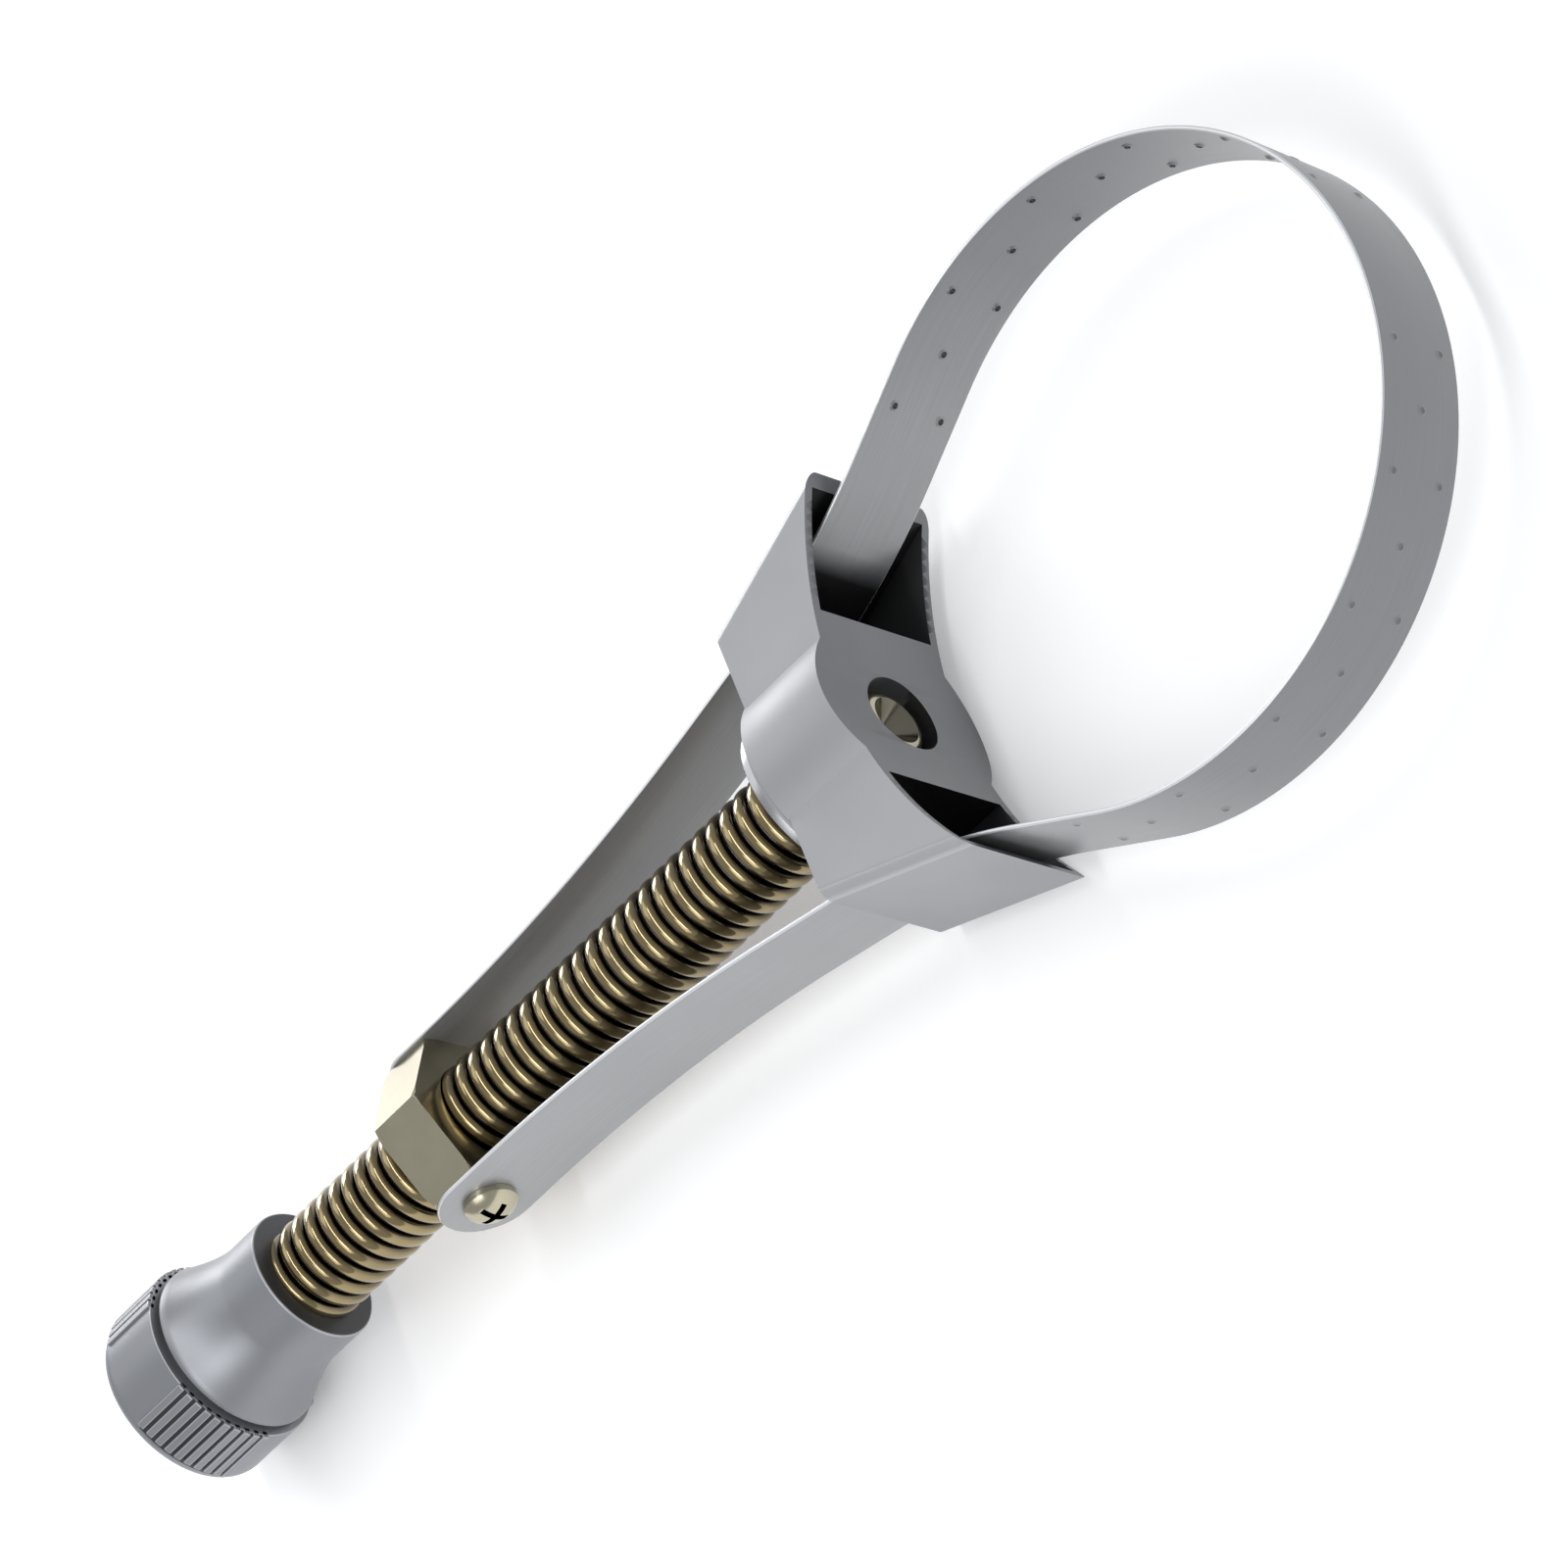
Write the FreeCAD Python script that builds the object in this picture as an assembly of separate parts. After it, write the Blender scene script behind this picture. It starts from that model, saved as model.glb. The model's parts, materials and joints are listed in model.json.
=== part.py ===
import FreeCAD, Part
import math
import os

# Adjustable steel band oil filter wrench, in millimetres, +Z up, lying flat.
# +X runs along the tool towards the loop. The origin is the centre of the can that the loop grips.

# Steel band
CAN_RADIUS = 46.6            # inside of the loop as stored: a 93 mm filter can
BAND_WIDTH = 15.4
BAND_THICK = 0.6
FLARE_DEG = 30.5             # angle of the band to the tool's axis in front of the head
LEG_DEG = 11.5               # angle of the band to the tool's axis behind the head
LEG_BEND_RADIUS = 310.0      # long bend that takes the leg away from the nut
FLARE_AHEAD = 14.0           # where the flare is straight again, ahead of the head's face
LEG_RUN = 14.8               # straight stretch between the leg's bend and the flare's bend
BAND_HOLE_GAP = 0.2          # band hole over the screw's shank, on the radius

# Cast head
HEAD_WALL = 1.4
BAND_SIDE_GAP = 3.3          # between the band's edges and the arms' broad walls
BAND_BACK_GAP = 0.5          # between the band and the end wall at the back of an arm
HEAD_DEPTH = 15.4            # from the face's middle to the back of the arms
SADDLE_RADIUS = 63.8         # hollow of the head's face
BOSS_RADIUS = 15.8
BOSS_BEHIND = 0.5            # boss beyond the back of the arms
SPIGOT_RADIUS = 13.8
SPIGOT_LENGTH = 1.4
SLOT_INNER = 14.45           # inner edge of each band slot from the axis
HEAD_EDGE_ROUND = 2.0
RECESS_DEPTH = 3.6
RECESS_CLEAR = 0.8           # round the screw's flared end
CUT_PAST = 5.0               # how far a bore's cut runs past the metal

# Lead screw, turning in the head
CREST_RADIUS = 8.0
THREAD_DEPTH = 1.35
THREAD_PITCH = 3.0
THREAD_CREST = 2.5           # width of a rounded crest at the root, along the axis
JOURNAL_RADIUS = 4.6
JOURNAL_BORE = 2.6           # hollow end that is rolled over the front washer
JOURNAL_BORE_DEPTH = 9.0
ROLLED_OUT = 0.9             # rolled end beyond the journal, on the radius
ROLLED_HEIGHT = 1.5
RUN_GAP = 0.05               # radial gap of a turning or sliding fit
END_FLOAT = 0.1              # end float of the screw in the head
TAIL_RADIUS = 6.0            # plain tail held in the knob

# Washers
THRUST_WASHER_RADIUS = 13.4
THRUST_WASHER_THICK = 1.5
FRONT_WASHER_CLEAR = 0.4     # round the front washer in the head's recess
FRONT_WASHER_THICK = 0.8

# Nut and its two band screws
NUT_FLATS = 24.0
NUT_SIDES = 6
NUT_LENGTH = 9.6
NUT_CORNER_CUT = 0.97        # cut off the corners at the nut's end faces, on the radius
NUT_CHAMFER_DEG = 30.0
NUT_FACE_SPACE = 1.0         # straight band in front of the nut
SCREW_SHANK_RADIUS = 2.0
SCREW_SHANK_GAP = 0.02
SHANK_TIP_GAP = 0.6          # from the shank's tip to the thread in the nut
SCREW_HEAD_RADIUS = 4.1
SCREW_HEAD_HEIGHT = 2.9
SCREW_RIM_HEIGHT = 1.0
SCREW_SEAT_GAP = 0.05
CROSS_ARM = 2.4              # cross recess in the screw's head
CROSS_SLOT = 1.0
CROSS_SINK = 1.4

# Travel of the nut from the stored place
TRAVEL_TO_KNOB = 30.0
KNOB_CLEARANCE = 1.5         # left between the nut and the knob at the end of the travel

# Knob: barrel, and a ribbed cap pressed over its neck
BARREL_RADIUS = 11.0
BARREL_STRAIGHT = 7.8
BARREL_FLARE_LENGTH = 10.5
BARREL_FLARE_SAG = 0.34      # share of the flare's rise that is reached half way along it
BARREL_FLARE_LAND = 0.9
BARREL_UNDER_CAP = 0.8       # barrel's flared edge below the cap's surface, on the radius
KNOB_GROOVE = 1.0
NECK_LENGTH = 9.0
CAP_RADIUS = 14.9
CAP_WALL = 2.9
CAP_FRONT_TO_SHOULDER = 10.3
CAP_SHOULDER = 2.7           # rounded back edge of the cap
CAP_DOME = 0.6
CAP_SEAT_GAP = 0.02
RIB_HEIGHT = 0.45
RIB_ROOT = 0.8               # how deep a rib is sunk in the cap
RIB_GROUPS = 3
RIBS_PER_GROUP = 10
RIB_PITCH_DEG = 6.8
RIB_WIDTH = 1.2
RIB_FIRST_DEG = 34.5         # first rib from straight up, turning about +X
PIN_RADIUS = 1.5
PIN_GAP = 0.01

PARALLEL = 1e-6              # sine below which two directions count as parallel
FULL_TURN = 360

# Places along the tool, worked out from the sizes above
FLARE = math.radians(FLARE_DEG)
LEG = math.radians(LEG_DEG)
END_WALL_DEG = (LEG_DEG + FLARE_DEG) / 2
END_WALL = math.radians(END_WALL_DEG)
MEAN_RADIUS = CAN_RADIUS + BAND_THICK / 2
LEG_Y = NUT_FLATS / 2 + BAND_THICK / 2
HEAD_HALF_THICK = BAND_WIDTH / 2 + BAND_SIDE_GAP + HEAD_WALL
ROOT_RADIUS = CREST_RADIUS - THREAD_DEPTH
ROLLED_RADIUS = JOURNAL_RADIUS + ROLLED_OUT
RECESS_RADIUS = ROLLED_RADIUS + RECESS_CLEAR
NECK_RADIUS = CAP_RADIUS - CAP_WALL
V = FreeCAD.Vector


def heading(angle):
    return V(math.cos(angle), math.sin(angle), 0)


def flare_bend_radius():
    """Radius of the bend that turns the leg into the flare, centred on the head's face."""
    back = FLARE_AHEAD / math.cos(FLARE)
    return back / math.tan((FLARE - LEG) / 2)


def band_line():
    """Corner points of the band's centre line from the nut to the loop, with x from the head's face."""
    bend = flare_bend_radius()
    nut_end = V(0, LEG_Y, 0)
    leg_bend = V(LEG_BEND_RADIUS * math.sin(LEG), LEG_BEND_RADIUS * (1 - math.cos(LEG)), 0)
    flare_bend = V(bend * (math.sin(FLARE) - math.sin(LEG)), bend * (math.cos(LEG) - math.cos(FLARE)), 0)
    after_leg = nut_end + leg_bend
    before_flare = after_leg + heading(LEG) * LEG_RUN
    after_flare = before_flare + flare_bend
    shift = V(FLARE_AHEAD - after_flare.x, 0, 0)
    return [p + shift for p in (nut_end, after_leg, before_flare, after_flare)]


LEG_START, LEG_BENT, FLARE_START, FLARE_END = band_line()
LOOP_TANGENT_Y = MEAN_RADIUS * math.cos(FLARE)
FLARE_STRAIGHT = (LOOP_TANGENT_Y - FLARE_END.y) / math.sin(FLARE)
FACE_X = -(FLARE_END.x + FLARE_STRAIGHT * math.cos(FLARE) + MEAN_RADIUS * math.sin(FLARE))
ARM_BACK_X = FACE_X - HEAD_DEPTH
ARM_BACK_Y = FLARE_START.y + (-HEAD_DEPTH - FLARE_START.x) * math.tan(LEG)
HEAD_BACK_HALF = ARM_BACK_Y + BAND_THICK / 2 + BAND_BACK_GAP + HEAD_WALL / math.cos(END_WALL)
BOSS_BACK_X = ARM_BACK_X - BOSS_BEHIND
SPIGOT_BACK_X = BOSS_BACK_X - SPIGOT_LENGTH
WASHER_BACK_X = SPIGOT_BACK_X - THRUST_WASHER_THICK
THREAD_FRONT_X = WASHER_BACK_X - END_FLOAT
NUT_FRONT_X = FACE_X + LEG_START.x - NUT_FACE_SPACE
NUT_BACK_X = NUT_FRONT_X - NUT_LENGTH
NUT_MID_X = (NUT_FRONT_X + NUT_BACK_X) / 2
KNOB_FRONT_X = NUT_BACK_X - TRAVEL_TO_KNOB - KNOB_CLEARANCE
FLARE_BACK_X = KNOB_FRONT_X - BARREL_STRAIGHT - BARREL_FLARE_LENGTH
BARREL_BACK_X = FLARE_BACK_X - BARREL_FLARE_LAND
CAP_FRONT_X = BARREL_BACK_X - KNOB_GROOVE
CAP_SHOULDER_X = CAP_FRONT_X - CAP_FRONT_TO_SHOULDER
CAP_BACK_X = CAP_SHOULDER_X - CAP_SHOULDER
NECK_BACK_X = CAP_FRONT_X - NECK_LENGTH
PIN_X = (CAP_FRONT_X + NECK_BACK_X) / 2


def line(a, b):
    return Part.LineSegment(a, b).toShape()


def arc(a, b, c):
    return Part.Arc(a, b, c).toShape()


def turned(outline):
    """Solid of revolution about the tool's axis from (x, radius) points and ("arc", mid, end) steps."""
    edges = []
    here = V(outline[0][0], outline[0][1], 0)
    start = here
    for step in outline[1:]:
        if step[0] == "arc":
            middle = V(step[1][0], step[1][1], 0)
            there = V(step[2][0], step[2][1], 0)
            edges.append(arc(here, middle, there))
        else:
            there = V(step[0], step[1], 0)
            edges.append(line(here, there))
        here = there
    edges.append(line(here, start))
    return Part.Face(Part.Wire(edges)).revolve(V(0, 0, 0), V(1, 0, 0), FULL_TURN)


def along_x(radius, x_low, x_high):
    return Part.makeCylinder(radius, x_high - x_low, V(x_low, 0, 0), V(1, 0, 0))


def block(low, high):
    size = V(*high) - V(*low)
    return Part.makeBox(size.x, size.y, size.z, V(*low))


def both_sides(shape):
    """The shape and its copy across the tool's middle plane."""
    return [shape, shape.mirror(V(0, 0, 0), V(0, 1, 0))]


def band_side(offset):
    """Edges of one surface of the band on the +Y side, offset outwards from the centre line."""
    bend = flare_bend_radius()
    shift = V(FACE_X, 0, 0)
    leg_end = V(NUT_MID_X, LEG_Y + offset, 0)

    def out(point, angle):
        return point + shift + V(-math.sin(angle), math.cos(angle), 0) * offset

    leg_middle = LEG_START + V(math.sin(LEG / 2), 1 - math.cos(LEG / 2), 0) * LEG_BEND_RADIUS
    half = (LEG + FLARE) / 2
    flare_middle = FLARE_START + V(math.sin(half) - math.sin(LEG), math.cos(LEG) - math.cos(half), 0) * bend
    loop_start = V(-math.sin(FLARE), math.cos(FLARE), 0) * (MEAN_RADIUS + offset)
    loop_middle = heading((math.pi / 2 + FLARE) / 2) * (MEAN_RADIUS + offset)
    crown = V(MEAN_RADIUS + offset, 0, 0)
    return [
        line(leg_end, out(LEG_START, 0)),
        arc(out(LEG_START, 0), out(leg_middle, LEG / 2), out(LEG_BENT, LEG)),
        line(out(LEG_BENT, LEG), out(FLARE_START, LEG)),
        arc(out(FLARE_START, LEG), out(flare_middle, half), out(FLARE_END, FLARE)),
        line(out(FLARE_END, FLARE), loop_start),
        arc(loop_start, loop_middle, crown),
    ]


def band_half():
    """The band on the +Y side, from its round end at the nut to the crown of the loop."""
    inner = band_side(-BAND_THICK / 2)
    outer = band_side(BAND_THICK / 2)
    ends = [
        line(outer[-1].Vertexes[-1].Point, inner[-1].Vertexes[-1].Point),
        line(outer[0].Vertexes[0].Point, inner[0].Vertexes[0].Point),
    ]
    outline = Part.Wire(Part.__sortEdges__(inner + outer + ends))
    strip = Part.Face(outline).extrude(V(0, 0, BAND_WIDTH))
    strip.translate(V(0, 0, -BAND_WIDTH / 2))
    end_round = Part.makeCylinder(BAND_WIDTH / 2, BAND_THICK, V(NUT_MID_X, NUT_FLATS / 2, 0), V(0, 1, 0))
    hole_radius = SCREW_SHANK_RADIUS + BAND_HOLE_GAP
    hole = Part.makeCylinder(hole_radius, NUT_FLATS, V(NUT_MID_X, 0, 0), V(0, 1, 0))
    return strip.fuse(end_round).cut(hole)


def steel_band():
    left, right = both_sides(band_half())
    return left.fuse(right).removeSplitter()


def arm(inset, half_thick, back_x):
    """Solid of one arm on the +Y side, or of the hollow inside it, with its end wall drawn in by inset."""
    front_x = FACE_X + SADDLE_RADIUS / 2
    wall = inset / math.cos(END_WALL)
    inner_y = SLOT_INNER if inset else 0

    def wall_y(x):
        return HEAD_BACK_HALF + (x - ARM_BACK_X) * math.tan(END_WALL) - wall

    corners = [V(back_x, inner_y, -half_thick), V(back_x, wall_y(back_x), -half_thick),
               V(front_x, wall_y(front_x), -half_thick), V(front_x, inner_y, -half_thick)]
    outline = Part.makePolygon(corners + corners[:1])
    return Part.Face(outline).extrude(V(0, 0, 2 * half_thick))


def long_edges(shape):
    """Edges where an arm's end wall meets its broad walls."""
    lean = heading(END_WALL)
    found = []
    for edge in shape.Edges:
        run = edge.Vertexes[-1].Point - edge.Vertexes[0].Point
        if run.cross(lean).Length < PARALLEL * run.Length:
            found.append(edge)
    return found


def head_casting():
    """Saddle-faced head with a bored boss and two open arms that the band runs through."""
    saddle_x = FACE_X + SADDLE_RADIUS
    solid_arm = arm(0, HEAD_HALF_THICK, ARM_BACK_X)
    solid_arm = solid_arm.makeFillet(HEAD_EDGE_ROUND, long_edges(solid_arm))
    body = along_x(BOSS_RADIUS, BOSS_BACK_X, saddle_x).fuse(both_sides(solid_arm))
    hollow = arm(HEAD_WALL, HEAD_HALF_THICK - HEAD_WALL, BOSS_BACK_X - CUT_PAST)
    saddle_height = 2 * (BOSS_RADIUS + CUT_PAST)
    saddle = Part.makeCylinder(SADDLE_RADIUS, saddle_height, V(saddle_x, 0, -saddle_height / 2))
    body = body.cut(both_sides(hollow) + [saddle])
    body = body.fuse(along_x(SPIGOT_RADIUS, SPIGOT_BACK_X, BOSS_BACK_X))
    bore = along_x(JOURNAL_RADIUS + RUN_GAP, SPIGOT_BACK_X - CUT_PAST, FACE_X)
    recess = along_x(RECESS_RADIUS, FACE_X - RECESS_DEPTH, FACE_X + CUT_PAST)
    return body.cut([bore, recess]).removeSplitter()


def lead_screw():
    """Screw with a journal and a rolled hollow end at the head, and a plain tail in the knob.

    The thread's turns are drawn as rings at its pitch.
    """
    rolled_x = FACE_X - RECESS_DEPTH + END_FLOAT + FRONT_WASHER_THICK
    rolled_top = (rolled_x + ROLLED_HEIGHT, (JOURNAL_BORE + ROLLED_RADIUS) / 2)
    bore_end_x = rolled_x - JOURNAL_BORE_DEPTH
    outline = [
        (bore_end_x, 0), (bore_end_x, JOURNAL_BORE), (rolled_x, JOURNAL_BORE),
        ("arc", rolled_top, (rolled_x, ROLLED_RADIUS)),
        (rolled_x, JOURNAL_RADIUS), (THREAD_FRONT_X, JOURNAL_RADIUS), (THREAD_FRONT_X, ROOT_RADIUS),
    ]
    turns = int((THREAD_FRONT_X - KNOB_FRONT_X) / THREAD_PITCH)
    x = THREAD_FRONT_X - (THREAD_PITCH - THREAD_CREST)
    for _ in range(turns):
        outline.append((x, ROOT_RADIUS))
        outline.append(("arc", (x - THREAD_CREST / 2, CREST_RADIUS), (x - THREAD_CREST, ROOT_RADIUS)))
        x = x - THREAD_PITCH
    outline += [(KNOB_FRONT_X, ROOT_RADIUS), (KNOB_FRONT_X, TAIL_RADIUS), (NECK_BACK_X, TAIL_RADIUS),
                (NECK_BACK_X, 0)]
    return turned(outline).cut(pin_hole())


def thrust_washer():
    """Washer between the head's spigot and the shoulder of the thread."""
    disc = along_x(THRUST_WASHER_RADIUS, WASHER_BACK_X, SPIGOT_BACK_X)
    return disc.cut(along_x(JOURNAL_RADIUS + RUN_GAP, WASHER_BACK_X, SPIGOT_BACK_X))


def front_washer():
    """Washer in the head's recess, held by the screw's rolled end."""
    back_x = FACE_X - RECESS_DEPTH + END_FLOAT
    disc = along_x(RECESS_RADIUS - FRONT_WASHER_CLEAR, back_x, back_x + FRONT_WASHER_THICK)
    return disc.cut(along_x(JOURNAL_RADIUS, back_x, back_x + FRONT_WASHER_THICK))


def travelling_nut():
    """Hexagon with two flats facing the band ends, chamfered at both faces."""
    corner = NUT_FLATS / math.sqrt(3)
    angles = [math.tau * i / NUT_SIDES for i in range(NUT_SIDES + 1)]
    corners = [V(NUT_BACK_X, corner * math.sin(a), corner * math.cos(a)) for a in angles]
    hexagon = Part.Face(Part.makePolygon(corners)).extrude(V(NUT_LENGTH, 0, 0))
    face_radius = corner - NUT_CORNER_CUT
    drop = NUT_CORNER_CUT * math.tan(math.radians(NUT_CHAMFER_DEG))
    rounded = turned([
        (NUT_BACK_X, 0), (NUT_BACK_X, face_radius), (NUT_BACK_X + drop, corner),
        (NUT_FRONT_X - drop, corner), (NUT_FRONT_X, face_radius), (NUT_FRONT_X, 0),
    ])
    bore = along_x(CREST_RADIUS + RUN_GAP, NUT_BACK_X, NUT_FRONT_X)
    tapped = SCREW_SHANK_RADIUS + SCREW_SHANK_GAP
    reach = NUT_FLATS / 2 + CUT_PAST
    side_holes = Part.makeCylinder(tapped, 2 * reach, V(NUT_MID_X, -reach, 0), V(0, 1, 0))
    return hexagon.common(rounded).cut([bore, side_holes])


def band_screw():
    """Pan-head cross-recess screw through the +Y end of the band into the nut."""
    seat_y = NUT_FLATS / 2 + BAND_THICK + SCREW_SEAT_GAP
    top_y = seat_y + SCREW_HEAD_HEIGHT
    rim_y = seat_y + SCREW_RIM_HEIGHT
    tip_y = CREST_RADIUS + RUN_GAP + SHANK_TIP_GAP
    rise = top_y - rim_y
    dome_radius = (SCREW_HEAD_RADIUS ** 2 + rise ** 2) / (2 * rise)
    half_way = SCREW_HEAD_RADIUS / 2
    dip = dome_radius - math.sqrt(dome_radius ** 2 - half_way ** 2)
    crown = V(half_way, top_y - dip, 0)
    points = [V(0, tip_y, 0), V(SCREW_SHANK_RADIUS, tip_y, 0), V(SCREW_SHANK_RADIUS, seat_y, 0),
              V(SCREW_HEAD_RADIUS, seat_y, 0), V(SCREW_HEAD_RADIUS, rim_y, 0)]
    top = V(0, top_y, 0)
    edges = [line(a, b) for a, b in zip(points, points[1:])]
    edges += [arc(points[-1], crown, top), line(top, points[0])]
    screw = Part.Face(Part.Wire(edges)).revolve(V(0, 0, 0), V(0, 1, 0), FULL_TURN)
    half_slot = CROSS_SLOT / 2
    floor_y = top_y - CROSS_SINK
    past_y = top_y + CUT_PAST
    along = block((-CROSS_ARM, floor_y, -half_slot), (CROSS_ARM, past_y, half_slot))
    across = block((-half_slot, floor_y, -CROSS_ARM), (half_slot, past_y, CROSS_ARM))
    screw = screw.cut([along, across])
    screw.translate(V(NUT_MID_X, 0, 0))
    return screw


def pin_hole():
    """Cutter for the cross hole through the knob's neck and the screw's tail."""
    reach = CAP_RADIUS + CUT_PAST
    return Part.makeCylinder(PIN_RADIUS + PIN_GAP, 2 * reach, V(PIN_X, 0, -reach))


def knob_barrel():
    """Flared barrel with a neck behind it, bored for the screw's tail."""
    flare_start_x = KNOB_FRONT_X - BARREL_STRAIGHT
    flare_radius = CAP_RADIUS - BARREL_UNDER_CAP
    rise = flare_radius - BARREL_RADIUS
    flare_middle = (flare_start_x - BARREL_FLARE_LENGTH / 2, BARREL_RADIUS + rise * BARREL_FLARE_SAG)
    outline = [
        (KNOB_FRONT_X, 0), (KNOB_FRONT_X, BARREL_RADIUS), (flare_start_x, BARREL_RADIUS),
        ("arc", flare_middle, (FLARE_BACK_X, flare_radius)),
        (BARREL_BACK_X, flare_radius), (BARREL_BACK_X, NECK_RADIUS),
        (NECK_BACK_X, NECK_RADIUS), (NECK_BACK_X, 0),
    ]
    bore = along_x(TAIL_RADIUS, NECK_BACK_X, KNOB_FRONT_X)
    return turned(outline).cut([bore, pin_hole()])


def ribs():
    """Groups of raised ribs round the cap, with smooth panels between the groups."""
    low = (CAP_SHOULDER_X, -RIB_WIDTH / 2, CAP_RADIUS - RIB_ROOT)
    rib = block(low, (CAP_FRONT_X, RIB_WIDTH / 2, CAP_RADIUS + RIB_HEIGHT))
    solids = []
    for group in range(RIB_GROUPS):
        for number in range(RIBS_PER_GROUP):
            angle = RIB_FIRST_DEG + group * FULL_TURN / RIB_GROUPS + number * RIB_PITCH_DEG
            placed = rib.copy()
            placed.rotate(V(0, 0, 0), V(1, 0, 0), angle)
            solids.append(placed)
    return solids


def knob_cap():
    """Ribbed cup with a rounded, slightly domed back, pressed over the barrel's neck."""
    slope = CAP_SHOULDER * (1 - math.sqrt(0.5))
    floor_x = NECK_BACK_X - CAP_SEAT_GAP
    outline = [
        (CAP_FRONT_X, NECK_RADIUS), (CAP_FRONT_X, CAP_RADIUS), (CAP_SHOULDER_X, CAP_RADIUS),
        ("arc", (CAP_BACK_X + slope, CAP_RADIUS - slope), (CAP_BACK_X, CAP_RADIUS - CAP_SHOULDER)),
        (CAP_BACK_X - CAP_DOME, 0), (floor_x, 0), (floor_x, NECK_RADIUS),
    ]
    return turned(outline).fuse(ribs()).removeSplitter()


def knob_pin():
    """Cross pin through the barrel's neck and the screw's tail, covered by the cap."""
    half = math.sqrt(NECK_RADIUS ** 2 - PIN_RADIUS ** 2) - CAP_SEAT_GAP
    return Part.makeCylinder(PIN_RADIUS, 2 * half, V(PIN_X, 0, -half))


def build():
    left_screw, right_screw = both_sides(band_screw())
    nodes = {
        "head_casting": head_casting(),
        "steel_band": steel_band(),
        "rear_thrust_washer": thrust_washer(),
        "lead_screw": lead_screw(),
        "front_retaining_washer": front_washer(),
        "travelling_nut": travelling_nut(),
        "band_screw_left": left_screw,
        "band_screw_right": right_screw,
        "knob_barrel": knob_barrel(),
        "knob_grip_cap": knob_cap(),
        "knob_cross_pin": knob_pin(),
    }
    os.makedirs("parts", exist_ok=True)
    for name, shape in nodes.items():
        solids = shape.Solids
        if len(solids) != 1 or not shape.isValid():
            raise RuntimeError(f"{name} has {len(solids)} solids, valid {shape.isValid()}")
        solids[0].exportStep(f"parts/{name}.step")
        box = shape.BoundBox
        print(f"{name}: x {box.XMin:.1f} to {box.XMax:.1f}, y {box.YMin:.1f} to {box.YMax:.1f}, "
              f"z {box.ZMin:.1f} to {box.ZMax:.1f}, {shape.Volume / 1000:.2f} cm3")
    print(f"head face at x {FACE_X:.2f}, nut {NUT_BACK_X:.2f} to {NUT_FRONT_X:.2f}, knob {KNOB_FRONT_X:.2f}")


build()
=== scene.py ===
# %% [markdown]
# # A steel band filter wrench
# This wrench unscrews spin-on oil filters. A steel band makes a loop for the can, and both of its
# ends run back through a cast head to a nut. Turning the knob turns a screw, the screw draws the
# nut back, and the loop closes. The lesson keeps the working parts where the CAD frame has them,
# and builds what a camera sees: soft edges, a real helical thread, the springy band and the finishes.

# %% Load the frame
import json
import math

import bmesh
import bpy
from mathutils import Matrix, Vector


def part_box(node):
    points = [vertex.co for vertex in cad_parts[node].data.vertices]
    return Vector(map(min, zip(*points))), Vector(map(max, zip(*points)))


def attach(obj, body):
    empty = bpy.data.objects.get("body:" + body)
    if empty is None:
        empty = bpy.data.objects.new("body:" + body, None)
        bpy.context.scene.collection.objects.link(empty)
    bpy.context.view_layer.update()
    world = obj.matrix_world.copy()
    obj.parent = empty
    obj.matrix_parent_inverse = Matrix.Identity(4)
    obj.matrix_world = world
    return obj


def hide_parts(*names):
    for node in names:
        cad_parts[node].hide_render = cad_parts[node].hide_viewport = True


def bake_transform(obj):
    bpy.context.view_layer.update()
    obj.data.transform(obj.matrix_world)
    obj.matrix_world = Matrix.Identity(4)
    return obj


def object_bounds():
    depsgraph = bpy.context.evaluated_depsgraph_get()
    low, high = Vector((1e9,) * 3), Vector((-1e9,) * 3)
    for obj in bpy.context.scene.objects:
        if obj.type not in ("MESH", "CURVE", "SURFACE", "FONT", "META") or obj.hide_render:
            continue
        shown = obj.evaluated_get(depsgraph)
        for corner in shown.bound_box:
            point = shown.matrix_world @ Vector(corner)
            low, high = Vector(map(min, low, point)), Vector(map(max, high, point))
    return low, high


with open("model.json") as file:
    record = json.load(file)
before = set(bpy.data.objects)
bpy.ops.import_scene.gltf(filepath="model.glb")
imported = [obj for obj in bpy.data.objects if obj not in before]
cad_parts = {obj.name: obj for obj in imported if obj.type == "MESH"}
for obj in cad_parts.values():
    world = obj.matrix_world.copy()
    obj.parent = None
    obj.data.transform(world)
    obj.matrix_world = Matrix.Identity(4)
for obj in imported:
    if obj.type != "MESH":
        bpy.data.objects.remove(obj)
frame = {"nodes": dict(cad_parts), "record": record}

MM = 0.001
cad_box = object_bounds()
print("the tool is", [round(side / MM, 1) for side in cad_box[1] - cad_box[0]], "mm")

# %% [markdown]
# X runs along the screw. Places come from the boxes of the CAD nodes, so the pieces stay where
# the frame has them. A size that no box shows, such as a slot's wall or the flare of the knob, is
# a named value here that repeats the CAD's own, and has to be changed in both.

# %% Places along the tool
head_low, head_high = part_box("head_casting")
nut_low, nut_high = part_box("travelling_nut")
washer_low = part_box("rear_thrust_washer")[0]
front_washer_low, front_washer_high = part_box("front_retaining_washer")
screw_low, screw_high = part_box("lead_screw")
barrel_low, barrel_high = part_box("knob_barrel")
cap_low, cap_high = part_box("knob_grip_cap")
band_low, band_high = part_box("steel_band")
can_radius = frame["record"]["mounts"][0]["dims"]["r_mm"] * MM
band_width = band_high.z - band_low.z
band_thick = band_high.x - can_radius
nut_middle_x = (nut_low.x + nut_high.x) / 2
WASHER_BEHIND_FACE = 3.5 * MM
face_x = front_washer_low.x + WASHER_BEHIND_FACE
print("band", round(band_width / MM, 2), "by", round(band_thick / MM, 2), "mm, can", can_radius / MM)

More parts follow.
